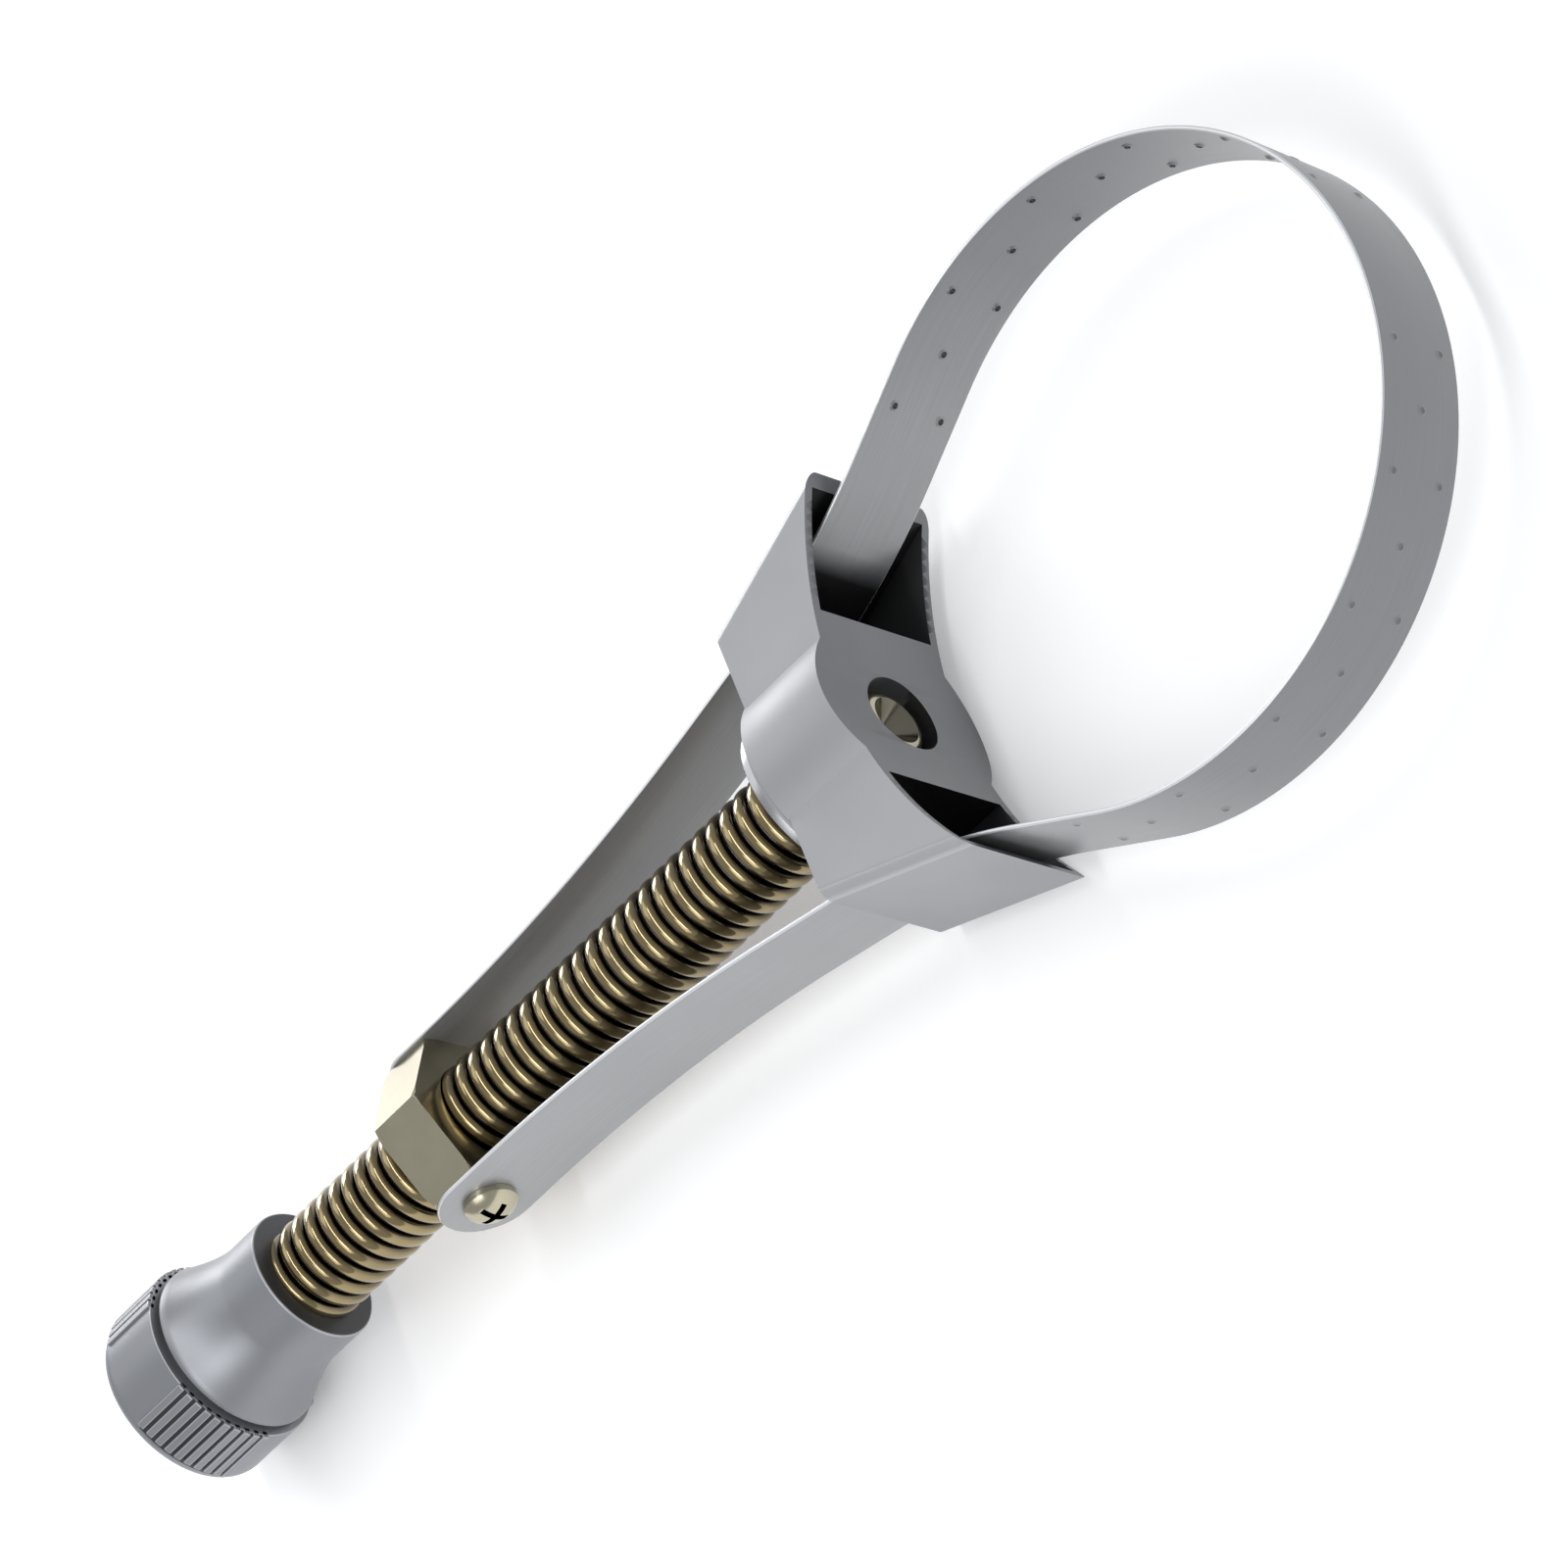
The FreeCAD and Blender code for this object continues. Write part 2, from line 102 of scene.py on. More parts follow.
# %% [markdown]
# ## Helpers for shapes
# A bmesh is a mesh in the making. These helpers pick its sharp edges, round them with a bevel,
# and turn the result into a piece that rides on a body. Faces are shaded smooth, and only edges
# that are still sharper than the limit stay crisp.

# %% Helpers that finish a mesh
SHARP = math.radians(32)
MERGE = 0.002 * MM


def sharp_edges(bm, limit=SHARP):
    return [e for e in bm.edges if len(e.link_faces) == 2 and e.calc_face_angle() > limit]


def round_edges(bm, edges, width, segments=2, wear_and_highlight_share=1.0):
    """Bevels edges, and marks the new faces in a face layer so that a finish can brighten them, partly as
    edge wear and partly as a painted highlight.
    """
    wear_and_highlight = bm.faces.layers.float.get("wear_and_highlight") or bm.faces.layers.float.new("wear_and_highlight")
    made = bmesh.ops.bevel(bm, geom=edges, offset=width, offset_type="OFFSET", segments=segments,
                           profile=0.5, affect="EDGES", clamp_overlap=True, material=-1)
    for face in made["faces"]:
        face[wear_and_highlight] = wear_and_highlight_share


def mark_faces(bm, layer, share_of):
    """Fills a face layer with what share_of says of each face. Faces it gives 0 keep their mark."""
    marks = bm.faces.layers.float.get(layer) or bm.faces.layers.float.new(layer)
    for face in bm.faces:
        face[marks] = share_of(face) or face[marks]


def make_piece(name, bm, material, recalculate=True):
    """Turns a bmesh into an object with its place in its mesh."""
    bmesh.ops.remove_doubles(bm, verts=bm.verts[:], dist=MERGE)
    if recalculate:
        bmesh.ops.recalc_face_normals(bm, faces=bm.faces[:])
    mesh = bpy.data.meshes.new(name)
    bm.to_mesh(mesh)
    bm.free()
    mesh.shade_smooth()
    mesh.set_sharp_from_angle(angle=SHARP)
    mesh.materials.append(material)
    piece = bpy.data.objects.new(name, mesh)
    bpy.context.scene.collection.objects.link(piece)
    print(name, "has", len(mesh.polygons), "faces")
    return piece


def weigh_normals(piece):
    """Keeps the large flat faces flat beside their rounded edges."""
    weighted = piece.modifiers.new("flat faces stay flat", "WEIGHTED_NORMAL")
    weighted.keep_sharp = True
    return piece


print("corners sharper than", round(math.degrees(SHARP)), "degrees stay crisp or get a bevel")

# %% [markdown]
# A turned part is an outline spun once round the screw's axis. The outline is a short list of
# (x, radius) points in metres, and a corner gets its small radius from a bevel afterwards.

# %% Helpers for turned and copied parts
def outline_edges(bm, points):
    """A chain of edges through (x, radius) points in the XY plane."""
    verts = [bm.verts.new((x, radius, 0)) for x, radius in points]
    edges = [bm.edges.new(pair) for pair in zip(verts, verts[1:])]
    return verts + edges


def spin_outline(bm, points, segments=96):
    chain = outline_edges(bm, points)
    bmesh.ops.spin(bm, geom=chain, cent=(0, 0, 0), axis=(1, 0, 0), angle=2 * math.pi,
                   steps=segments, use_merge=True)
    bmesh.ops.remove_doubles(bm, verts=bm.verts[:], dist=MERGE)
    bmesh.ops.dissolve_degenerate(bm, edges=bm.edges[:], dist=MERGE)
    bmesh.ops.recalc_face_normals(bm, faces=bm.faces[:])


def quarter(centre, radius, start, end, steps=6):
    """Points of an arc in the outline, with angles in degrees from +X towards growing radius."""
    turn = [math.radians(start + (end - start) * i / steps) for i in range(steps + 1)]
    return [(centre[0] + radius * math.cos(a), centre[1] + radius * math.sin(a)) for a in turn]


def merged_copy(node, flatten=True):
    """A bmesh of a CAD node with its loose triangles merged and, if asked, its flat faces made whole."""
    bm = bmesh.new()
    bm.from_mesh(frame["nodes"][node].data)
    bmesh.ops.remove_doubles(bm, verts=bm.verts[:], dist=MERGE)
    bmesh.ops.dissolve_degenerate(bm, edges=bm.edges[:], dist=MERGE)
    if flatten:
        bmesh.ops.dissolve_limit(bm, angle_limit=math.radians(0.6), use_dissolve_boundaries=False,
                                 verts=bm.verts[:], edges=bm.edges[:], delimit=set())
    return bm


print("points nearer than", round(MERGE / MM, 4), "mm are merged")

# %% [markdown]
# ## Helpers for finishes
# All patterns read Object coordinates, which are metres here, so a noise scale of 1000 gives
# features of a millimetre. Stretching a pattern turns specks into the grain that rolling or
# brushing leaves.

# %% Helpers that wire a material
NOISE_FINE = 2600.0


def new_finish(name, metallic, roughness):
    material = bpy.data.materials.new(name)
    material.use_nodes = True
    shader = material.node_tree.nodes["Principled BSDF"]
    shader.inputs["Metallic"].default_value = metallic
    shader.inputs["Roughness"].default_value = roughness
    return material, shader


def add_node(material, kind, inputs=None, **settings):
    node = material.node_tree.nodes.new(kind)
    for name, value in settings.items():
        setattr(node, name, value)
    for name, value in (inputs or {}).items():
        if isinstance(value, bpy.types.NodeSocket):
            material.node_tree.links.new(value, node.inputs[name])
        else:
            node.inputs[name].default_value = value
    return node


def noise(material, scale, stretch=(1, 1, 1), detail=4.0):
    """A noise between 0 and 1 in the piece's own metres."""
    place = add_node(material, "ShaderNodeTexCoord").outputs["Object"]
    mapping = add_node(material, "ShaderNodeMapping", {"Vector": place, "Scale": stretch})
    pattern = add_node(material, "ShaderNodeTexNoise",
                       {"Vector": mapping.outputs["Vector"], "Scale": scale, "Detail": detail})
    return pattern.outputs["Fac"]


def ranged(material, value, low, high, to_low, to_high):
    """Maps a value from one range to another, held at both ends."""
    node = add_node(material, "ShaderNodeMapRange",
                    {"Value": value, "From Min": low, "From Max": high, "To Min": to_low, "To Max": to_high})
    return node.outputs["Result"]


def blend_colours(material, share, first, second):
    """The first colour where share is 0 and the second where it is 1."""
    node = add_node(material, "ShaderNodeMix", data_type="RGBA")
    material.node_tree.links.new(share, node.inputs["Factor"])
    for socket, colour in ((node.inputs[6], first), (node.inputs[7], second)):
        if isinstance(colour, bpy.types.NodeSocket):
            material.node_tree.links.new(colour, socket)
        else:
            socket.default_value = (*colour, 1)
    return node.outputs[2]


def add_bump(material, shader, height, depth, strength=1.0):
    bump = add_node(material, "ShaderNodeBump",
                    {"Height": height, "Distance": depth, "Strength": strength})
    material.node_tree.links.new(bump.outputs["Normal"], shader.inputs["Normal"])
    return bump


def connect(material, socket, shader, name):
    material.node_tree.links.new(socket, shader.inputs[name])


def marked(material, layer):
    """The share that a face layer holds, such as edge wear with a painted highlight or painted shade, and 0
    on a piece without it.
    """
    return add_node(material, "ShaderNodeAttribute", attribute_name=layer).outputs["Fac"]


print("noise scales count features to the metre, so", NOISE_FINE, "gives sand")

# %% [markdown]
# ## The finishes
# The head is a die casting: satin grey, a fine sandy grain, faint cloudiness, and edges that
# are brightened a little, partly as wear and partly as a painted highlight.

# %% Satin casting
def both(material, first, second, operation="MULTIPLY"):
    return add_node(material, "ShaderNodeMath", {0: first, 1: second}, operation=operation).outputs[0]


def satin_casting(name, colour, bright, roughness, grain=NOISE_FINE):
    material, shader = new_finish(name, 0.5, roughness)
    clouds = noise(material, 55.0, detail=3.0)
    shade = ranged(material, clouds, 0.3, 0.7, 0.0, 0.35)
    mottled = blend_colours(material, shade, colour, [c * 0.86 for c in colour])
    # Bevelled edges brighten, partly as wear and partly as a painted highlight.
    edged = blend_colours(material, marked(material, "wear_and_highlight"), mottled, bright)
    # Faces marked for painted shade are darkened nearly to black.
    shaded = blend_colours(material, marked(material, "painted_shade"), edged, (0.012, 0.012, 0.013))
    connect(material, shaded, shader, "Base Color")
    sand = noise(material, grain, detail=6.0)
    gloss = ranged(material, clouds, 0.3, 0.7, roughness - 0.04, roughness + 0.06)
    connect(material, gloss, shader, "Roughness")
    add_bump(material, shader, sand, 0.02 * MM, 0.35)
    return material


cast_grey = satin_casting("satin_cast_alloy", (0.345, 0.35, 0.365), (0.50, 0.505, 0.52), 0.42)
knob_grey = satin_casting("satin_knob_alloy", (0.275, 0.283, 0.303), (0.52, 0.53, 0.55), 0.36, 3200.0)
print("made", cast_grey.name, "and", knob_grey.name)

# %% [markdown]
# The band is cold rolled strip. Rolling leaves fine lines along its length, and the length of
# the band always runs level, so a noise that is squeezed upwards draws lines that follow the loop.

# %% Rolled strip
GRAIN_UP = (1, 1, 60)
DARKEN_START = 5 * MM
DARKEN_FULL = 45 * MM
DARKEN_MOST = 0.5


def inside_head(material):
    """1 where the strip runs through the head's slots, fading out at both of their mouths; it masks a
    painted shade.
    """
    place = add_node(material, "ShaderNodeTexCoord").outputs["Object"]
    along = add_node(material, "ShaderNodeSeparateXYZ", {"Vector": place}).outputs["X"]
    front = ranged(material, along, face_x - 1 * MM, face_x + 3 * MM, 1.0, 0.0)
    back = ranged(material, along, head_low.x + 2 * MM, head_low.x + 4 * MM, 0.0, 1.0)
    return both(material, front, back)


def darkening_along_x(material):
    """Darkening along X: none at the head, and full from the middle of the loop on."""
    place = add_node(material, "ShaderNodeTexCoord").outputs["Object"]
    along = add_node(material, "ShaderNodeSeparateXYZ", {"Vector": place}).outputs["X"]
    return ranged(material, along, face_x + DARKEN_START, face_x + DARKEN_FULL, 0.0, DARKEN_MOST)


def rolled_strip():
    material, shader = new_finish("rolled_strip_steel", 0.55, 0.34)
    lines = noise(material, 60.0, GRAIN_UP, detail=5.0)
    clouds = noise(material, 30.0, detail=2.0)
    shade = ranged(material, lines, 0.3, 0.7, 0.0, 1.0)
    lined = blend_colours(material, shade, (0.36, 0.365, 0.375), (0.42, 0.425, 0.435))
    soft = ranged(material, clouds, 0.35, 0.65, 0.0, 0.5)
    mottled = blend_colours(material, soft, lined, (0.33, 0.335, 0.345))
    # The band grows darker from the head towards the crown of the loop.
    darkened = blend_colours(material, darkening_along_x(material), mottled, (0.12, 0.122, 0.13))
    # Painted shade in the pips' pits.
    pit_shaded = blend_colours(material, marked(material, "pit_shade"), darkened, (0.03, 0.03, 0.032))
    # Painted shade on the strip where it runs through the head's slots.
    shaded_in_slots = blend_colours(material, inside_head(material), pit_shaded, (0.02, 0.02, 0.022))
    # Marked edges brighten: bare steel on the slit edges, and a painted highlight along them.
    edged = blend_colours(material, marked(material, "wear_and_highlight"), shaded_in_slots, (0.72, 0.73, 0.75))
    connect(material, edged, shader, "Base Color")
    connect(material, ranged(material, lines, 0.3, 0.7, 0.29, 0.38), shader, "Roughness")
    add_bump(material, shader, lines, 0.01 * MM, 0.25)
    return material


strip_steel = rolled_strip()
print("made", strip_steel.name)

# %% [markdown]
# The screw, the nut and the band screws are plated with yellow zinc: a soft gold with an olive
# cast that shifts from place to place. The plating wears bright on the crests of the thread and painted
# shade darkens its roots, so the screw's finish reads the distance from its own axis.

# %% Yellow zinc
CREST_POLISH = 0.3 * MM
ROOT_SHADE_FULL = 0.4
ROOT_SHADE_GONE = 0.88


def axis_distance(material):
    """Distance from the screw's axis, from Object coordinates with X taken away."""
    place = add_node(material, "ShaderNodeTexCoord").outputs["Object"]
    across = add_node(material, "ShaderNodeVectorMath", {0: place, 1: (0, 1, 1)}, operation="MULTIPLY")
    length = add_node(material, "ShaderNodeVectorMath", {0: across.outputs["Vector"]}, operation="LENGTH")
    return length.outputs["Value"]


def yellow_zinc(name, light, dark, roughness, film, root=None, crest=None):
    material, shader = new_finish(name, 0.95, roughness)
    clouds = noise(material, 160.0, detail=2.0)
    shade = ranged(material, clouds, 0.3, 0.7, 0.0, 1.0)
    gold = blend_colours(material, shade, light, dark)
    # Bevelled edges brighten, partly as wear and partly as a painted highlight.
    colour = blend_colours(material, marked(material, "wear_and_highlight"), gold, (0.78, 0.74, 0.60))
    if root:
        height = axis_distance(material)
        polished = ranged(material, height, crest - CREST_POLISH, crest, 0.0, 0.6)
        colour = blend_colours(material, polished, colour, (0.36, 0.275, 0.11))
        depth = crest - root
        # Painted shade darkens the thread's roots.
        root_shade = ranged(material, height, root + depth * ROOT_SHADE_FULL, root + depth * ROOT_SHADE_GONE, 1.0, 0.0)
        colour = blend_colours(material, root_shade, colour, (0.020, 0.016, 0.010))
    # Faces marked for painted shade are darkened nearly to black.
    shaded = blend_colours(material, marked(material, "painted_shade"), colour, (0.012, 0.010, 0.008))
    connect(material, shaded, shader, "Base Color")
    gloss = ranged(material, clouds, 0.3, 0.7, roughness - 0.03, roughness + 0.05)
    connect(material, gloss, shader, "Roughness")
    add_bump(material, shader, noise(material, 1400.0, detail=2.0), 0.002 * MM, 0.12)
    shader.inputs["Coat Weight"].default_value = film
    shader.inputs["Coat Roughness"].default_value = 0.08
    shader.inputs["Coat IOR"].default_value = 1.7
    return material


crest_radius = screw_high.z
thread_depth = 1.35 * MM
root_radius = crest_radius - thread_depth
thread_zinc = yellow_zinc("yellow_zinc_thread", (0.26, 0.19, 0.065), (0.17, 0.125, 0.045), 0.15, 0.9,
                          root_radius, crest_radius)
nut_zinc = yellow_zinc("yellow_zinc_nut", (0.52, 0.48, 0.35), (0.44, 0.40, 0.29), 0.2, 0.3)
print("made", thread_zinc.name, "and", nut_zinc.name)

# %% [markdown]
# The washers are turned from bright steel. A lathe tool leaves rings round the axis, so their
# pattern is a wave over the distance from that axis. The pin inside the knob gets the same steel.

# %% Turned steel
def turned_steel():
    material, shader = new_finish("turned_bright_steel", 1.0, 0.24)
    wave = add_node(material, "ShaderNodeMath", {0: axis_distance(material), 1: 2 * math.pi / (0.35 * MM)},
                    operation="MULTIPLY")
    rings = add_node(material, "ShaderNodeMath", {0: wave.outputs[0]}, operation="SINE").outputs[0]
    clouds = noise(material, 300.0)
    shade = ranged(material, clouds, 0.3, 0.7, 0.0, 1.0)
    colour = blend_colours(material, shade, (0.50, 0.50, 0.51), (0.41, 0.41, 0.43))
    connect(material, colour, shader, "Base Color")
    connect(material, ranged(material, clouds, 0.3, 0.7, 0.2, 0.32), shader, "Roughness")
    add_bump(material, shader, rings, 0.008 * MM, 0.5)
    return material


washer_steel = turned_steel()
print("made", washer_steel.name)

# %% [markdown]
# ## The cast head
# The CAD head already has the right walls and slots, but a casting never has knife edges. A
# copy of it is merged into one skin and every sharp edge is rounded with a bevel.

# %% Cast head
HEAD_EDGE = 0.3 * MM
VALLEY_ROUND = 0.7 * MM
BOSS_RIM_ROUND = 0.9 * MM
BOSS_RIM_ZONE = 3 * MM
SLOT_INNER = 14.45 * MM
RECESS_EDGE = 6.5 * MM
NEAR = 0.1 * MM
NEARLY = 0.02
FACING = 0.7
SADDLE_FACING = 0.8
# Shares of painted shade on the plates inside the slots, in the recess and on the saddle.
PLATE_SHADE = 0.85
RECESS_SHADE = 0.93
SADDLE_SHADE = 0.4
CORNER_FLAT = 0.15
# Share of painted highlight on the rounded corners.
CORNER_HIGHLIGHT = 0.75
ARM_FROM = 19 * MM


def is_boss_rim(edge):
    """On the rim at the back of the boss, which the casting rounds the most."""
    return all(abs(v.co.yz.length - head_high.z) < NEAR and v.co.x < head_low.x + BOSS_RIM_ZONE
               for v in edge.verts)


def head_painted_shade(face):
    """Share of painted shade on a face: full in the slots, less in the recess, and some on the saddle."""
    place = face.calc_center_median()
    side = 1 if place.y > 0 else -1
    lean = face.normal.y * side
    across = place.y * side - SLOT_INNER
    if abs(across) < NEAR and lean > FACING or across > NEAR and lean < -FACING:
        return 1.0
    if across > -NEAR and abs(face.normal.z) > FACING and face.normal.z * place.z < 0:
        return PLATE_SHADE
    if place.yz.length < RECESS_EDGE:
        return RECESS_SHADE
    return SADDLE_SHADE if face.normal.x > SADDLE_FACING and place.x > face_x - NEAR else 0


def highlighted_corner(face):
    """The rounded corners between the broad plates and the end walls get a painted highlight."""
    place = face.calc_center_median()
    rounded = CORNER_FLAT < abs(face.normal.z) < 1 - NEARLY and abs(face.normal.y) > CORNER_FLAT
    return CORNER_HIGHLIGHT if rounded and abs(place.y) > ARM_FROM and face.normal.z * place.z > 0 else 0


bm = merged_copy("head_casting")
rims = [e for e in sharp_edges(bm) if is_boss_rim(e)]
round_edges(bm, rims, BOSS_RIM_ROUND, segments=4, wear_and_highlight_share=0.0)
hollows = [e for e in sharp_edges(bm) if not e.is_convex]
valleys = [e for e in hollows if min(v.co.yz.length for v in e.verts) > RECESS_EDGE]
round_edges(bm, valleys, VALLEY_ROUND, segments=3, wear_and_highlight_share=0.0)
round_edges(bm, [e for e in sharp_edges(bm) if e.is_convex], HEAD_EDGE, segments=2)
mark_faces(bm, "painted_shade", head_painted_shade)
mark_faces(bm, "wear_and_highlight", highlighted_corner)
print("rounded", len(rims), "rim edges and", len(valleys), "valley edges")
head = weigh_normals(make_piece("cast_head", bm, cast_grey, recalculate=False))
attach(head, "frame")
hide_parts("head_casting")

# %% [markdown]
# ## The steel band
# The band is one strip, but three stretches of it move in different ways: two legs that go
# with the nut, and the loop that grows and shrinks. Each is its own mesh with the same section,
# and they meet inside the head's slots, where nobody sees the joint. The section is a small
# rounded rectangle, carried along the band by straight extrusions and by spins about upright axes.

# %% The band's route
FLARE = math.radians(30.5)
LEG = math.radians(11.5)
LEG_BEND_RADIUS = 310 * MM
LEG_RUN = 14.8 * MM
FLARE_AHEAD = 14 * MM
STRAIGHT_BEFORE_NUT = 1 * MM
SEAM_SHARE = 0.4
STRIP_ROUND = 0.2 * MM
CUT_EDGE = 0.15

loop_radius = can_radius + band_thick / 2
leg_y = nut_high.y + band_thick / 2
flare_bend_radius = FLARE_AHEAD / math.cos(FLARE) / math.tan((FLARE - LEG) / 2)
seam_turn = (FLARE - LEG) * SEAM_SHARE
print("flare bend radius", round(flare_bend_radius / MM, 1), "mm")


# %% [markdown]
# The strip's section is drawn once, standing across the route. Straight runs are extrusions and
# bends are spins about an upright axis, so the section keeps its size all the way, as a strip does.

# %% Helpers that carry a section along
def strip_section(bm, start, heading):
    """Rounded rectangle across the band at a point of its middle line. Returns its edges."""
    grid = bmesh.ops.create_grid(bm, x_segments=1, y_segments=1, size=0.5)
    face = grid["verts"][0].link_faces[0]
    bmesh.ops.scale(bm, vec=(band_thick, band_width, 1), verts=grid["verts"])
    bmesh.ops.bevel(bm, geom=grid["verts"], offset=STRIP_ROUND, offset_type="OFFSET", segments=3,
                    profile=0.5, affect="VERTICES", material=-1)
    verts = bm.verts[:]
    stand = Matrix.Rotation(math.radians(90), 4, "X")
    turn = Matrix.Rotation(heading + math.radians(90), 4, "Z")
    bmesh.ops.transform(bm, matrix=Matrix.Translation(start) @ turn @ stand, verts=verts)
    return bm.edges[:]


def mark_cut_edges(bm):
    """The strip's slit edges are bright: bare steel, with a painted highlight along them."""
    mark_faces(bm, "wear_and_highlight", lambda face: 1.0 if abs(face.normal.z) > CUT_EDGE else 0)


def last_edges(made):
    return [g for g in made["geom_last"] if isinstance(g, bmesh.types.BMEdge)]


def run_straight(bm, edges, heading, length, steps=1):
    ahead = Vector((math.cos(heading), math.sin(heading), 0)) * (length / steps)
    for _ in range(steps):
        made = bmesh.ops.extrude_edge_only(bm, edges=edges)
        edges = [g for g in made["geom"] if isinstance(g, bmesh.types.BMEdge)
                 and all(v in made["geom"] for v in g.verts) and len(g.link_faces) == 1]
        moved = {v for g in edges for v in g.verts}
        bmesh.ops.translate(bm, vec=ahead, verts=list(moved))
    return edges


def run_bend(bm, edges, point, heading, radius, turn, steps):
    """Turns left for a positive turn and right for a negative one, with the same inside radius."""
    side = 1 if turn > 0 else -1
    centre = point + Vector((-math.sin(heading), math.cos(heading), 0)) * radius * side
    made = bmesh.ops.spin(bm, geom=edges, cent=centre, axis=(0, 0, 1), angle=turn, steps=steps)
    moved = Matrix.Translation(centre) @ Matrix.Rotation(turn, 4, "Z") @ Matrix.Translation(-centre)
    return last_edges(made), moved @ point


def ahead(point, heading, length):
    return point + Vector((math.cos(heading), math.sin(heading), 0)) * length


print("the section's corners are rounded by", STRIP_ROUND / MM, "mm")

# %% [markdown]
# The leg starts at the screw that holds it to the nut. Its end is a half disc about that screw,
# made by spinning half of the section through half a turn.

# %% Band legs
def leg_mesh():
    bm = bmesh.new()
    here = Vector((nut_middle_x, leg_y, 0))
    edges = strip_section(bm, here, 0)
    straight = nut_high.x + STRAIGHT_BEFORE_NUT - nut_middle_x
    edges = run_straight(bm, edges, 0, straight, 4)
    here = ahead(here, 0, straight)
    edges, here = run_bend(bm, edges, here, 0, LEG_BEND_RADIUS, LEG, 24)
    edges = run_straight(bm, edges, LEG, LEG_RUN, 6)
    here = ahead(here, LEG, LEG_RUN)
    edges, here = run_bend(bm, edges, here, LEG, flare_bend_radius, seam_turn, 8)
    bmesh.ops.contextual_create(bm, geom=edges)
    return bm, here


bm, seam_point = leg_mesh()
END_SEGMENTS = 40
print("the leg meets the loop at", [round(c / MM, 2) for c in seam_point])


def round_end(bm):
    """Half disc at the leg's end, about the band screw."""
    half_thick = band_thick / 2
    reach = band_width / 2
    rounding = [(reach - STRIP_ROUND * (1 - math.sin(a)), half_thick - STRIP_ROUND * (1 - math.cos(a)))
                for a in (0, math.pi / 6, math.pi / 3, math.pi / 2)]
    points = [(0, half_thick)] + rounding + [(r, -y) for r, y in reversed(rounding)] + [(0, -half_thick)]
    verts = [bm.verts.new((nut_middle_x, leg_y + y, r)) for r, y in points]
    edges = [bm.edges.new(pair) for pair in zip(verts, verts[1:])]
    bmesh.ops.spin(bm, geom=verts + edges, cent=(nut_middle_x, 0, 0), axis=(0, 1, 0),
                   angle=-math.pi, steps=END_SEGMENTS)


round_end(bm)
bmesh.ops.recalc_face_normals(bm, faces=bm.faces[:])
END_FACING = 0.99
crosswise = [f for f in bm.faces if abs(f.normal.x) > END_FACING]
inner_face = [f for f in crosswise if abs(f.calc_center_median().x - nut_middle_x) < MERGE]
bmesh.ops.delete(bm, geom=inner_face, context="FACES_ONLY")
mark_cut_edges(bm)
left_leg = make_piece("band_leg_left", bm, strip_steel)
bm = bmesh.new()
bm.from_mesh(left_leg.data)
bmesh.ops.mirror(bm, geom=bm.verts[:] + bm.edges[:] + bm.faces[:], axis="Y", merge_dist=0)
bmesh.ops.delete(bm, geom=[v for v in bm.verts if v.co.y > 0], context="VERTS")
right_leg = make_piece("band_leg_right", bm, strip_steel)

# %% [markdown]
# The loop starts at the seam, finishes the bend, runs straight to the can and follows it to the
# crown. The other half is a mirror image, welded at the crown.

# %% Band loop
def loop_mesh():
    bm = bmesh.new()
    heading = LEG + seam_turn
    edges = strip_section(bm, seam_point, heading)
    edges, here = run_bend(bm, edges, seam_point, heading, flare_bend_radius, FLARE - heading, 12)
    straight = (loop_radius * math.cos(FLARE) - here.y) / math.sin(FLARE)
    edges = run_straight(bm, edges, FLARE, straight, 8)
    here = ahead(here, FLARE, straight)
    edges, here = run_bend(bm, edges, here, FLARE, loop_radius, -(FLARE + math.pi / 2), 96)
    print("the crown is at", [round(c / MM, 2) for c in here])
    bmesh.ops.mirror(bm, geom=bm.verts[:] + bm.edges[:] + bm.faces[:], axis="Y", merge_dist=MERGE)
    bmesh.ops.remove_doubles(bm, verts=bm.verts[:], dist=MERGE)
    bmesh.ops.recalc_face_normals(bm, faces=bm.faces[:])
    mark_cut_edges(bm)
    return bm


bm = loop_mesh()

# %% [markdown]
# The band grips by small punched pips. Each one is a low crater with a raised rim and a pit in
# its middle, a spun outline that is copied to its place and sunk a hair into the strip.

# %% Punched pips
PIP_OUTER = 0.8 * MM
PIP_RIM = 0.5 * MM
PIP_PIT = 0.3 * MM
PIP_HEIGHT = 0.22 * MM
PIP_SINK = 0.05 * MM
PIP_ROW = 4.6 * MM
PIP_PITCH = 17.95 * MM
PIP_PAIRS_FROM = 14.6 * MM
PIP_SINGLES_FROM = 23.55 * MM
print("pips are", PIP_OUTER * 2 / MM, "mm across")


def pip_places():
    """(distance from the crown along the band, height) of every pip on the +Y half."""
    pairs = [(PIP_PAIRS_FROM + PIP_PITCH * i, row) for i in range(6) for row in (-PIP_ROW, PIP_ROW)]
    singles = [(PIP_SINGLES_FROM + PIP_PITCH * i, 0) for i in range(5)]
    return pairs + singles


def band_frame(distance, side):
    """Place and outward direction of the band's middle line at a distance from the crown."""
    arc_length = loop_radius * (FLARE + math.pi / 2)
    if distance <= arc_length:
        angle = distance / loop_radius
        outward = Vector((math.cos(angle), math.sin(angle), 0))
        place = outward * loop_radius
    else:
        outward = Vector((-math.sin(FLARE), math.cos(FLARE), 0))
        back = Vector((math.cos(FLARE), math.sin(FLARE), 0))
        place = outward * loop_radius - back * (distance - arc_length)
    flip = Vector((1, side, 1))
    return place * flip, outward * flip


